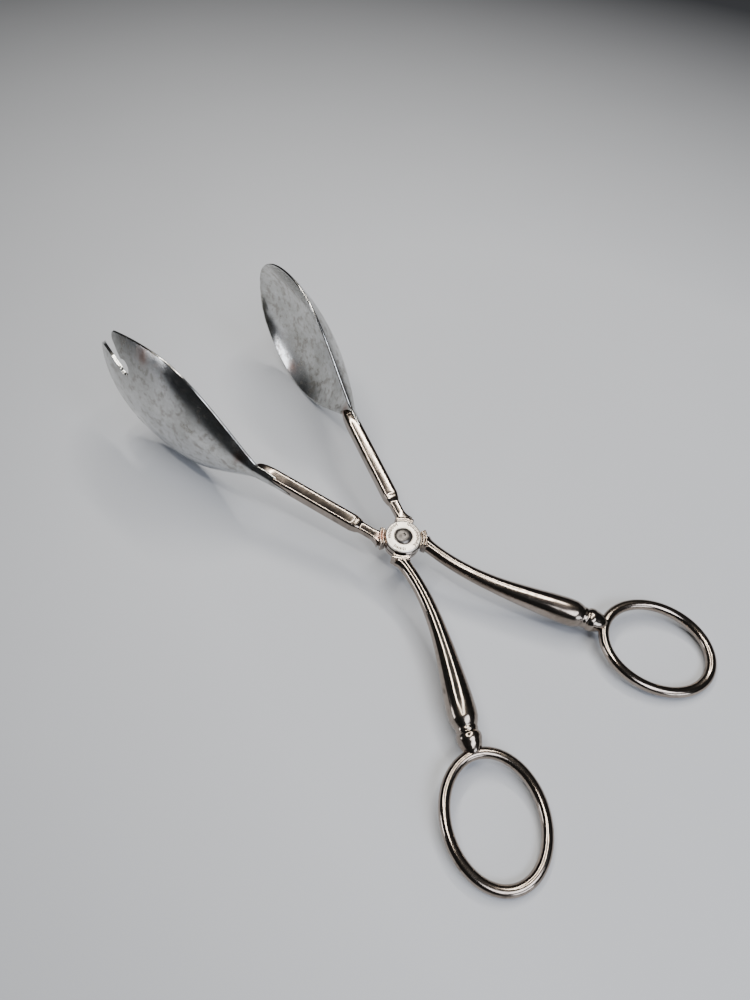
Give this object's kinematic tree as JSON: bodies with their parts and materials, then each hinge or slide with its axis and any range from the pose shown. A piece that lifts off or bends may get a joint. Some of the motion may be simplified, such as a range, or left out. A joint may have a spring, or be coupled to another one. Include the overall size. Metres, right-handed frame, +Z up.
{
  "type": "salad server tongs",
  "caption": "Scissor-action salad servers: a fork bowl and a spoon bowl on two crossing cast arms with oval finger rings, riveted at the middle.",
  "frame": {"origin": "under the middle of the whole object, on the flat surface it lies on", "axes": "+Y from the finger rings towards the bowls, +Z up from the surface, +X to the spoon's side"},
  "size_m": [0.1218, 0.2538, 0.0614],
  "materials": {
    "plated_arm": "polished silver plate over cast brass, light tarnish",
    "plated_ring": "polished silver plate",
    "plated_bowl": "silver plate worn to a soft satin, cloudy tarnish spots",
    "pivot_disc": "bright silver plate",
    "rivet_steel": "plain steel, dull polish"
  },
  "bodies": {
    "spoon_side": {"spoon_arm": "plated_arm", "spoon_finger_ring": "plated_ring", "spoon_bowl": "plated_bowl", "pivot_face_disc": "pivot_disc", "pivot_back_washer": "pivot_disc", "pivot_rivet": "rivet_steel"},
    "fork_side": {"fork_arm": "plated_arm", "fork_finger_ring": "plated_ring", "fork_bowl": "plated_bowl"}
  },
  "joints": [
    {"name": "pivot", "type": "hinge", "parent": "spoon_side", "child": "fork_side", "pos_m": [0, -0.01935, 0.01647], "axis": [0, -0.1367, 0.9906], "range_deg": [-29.5, 36.5]}
  ]
}
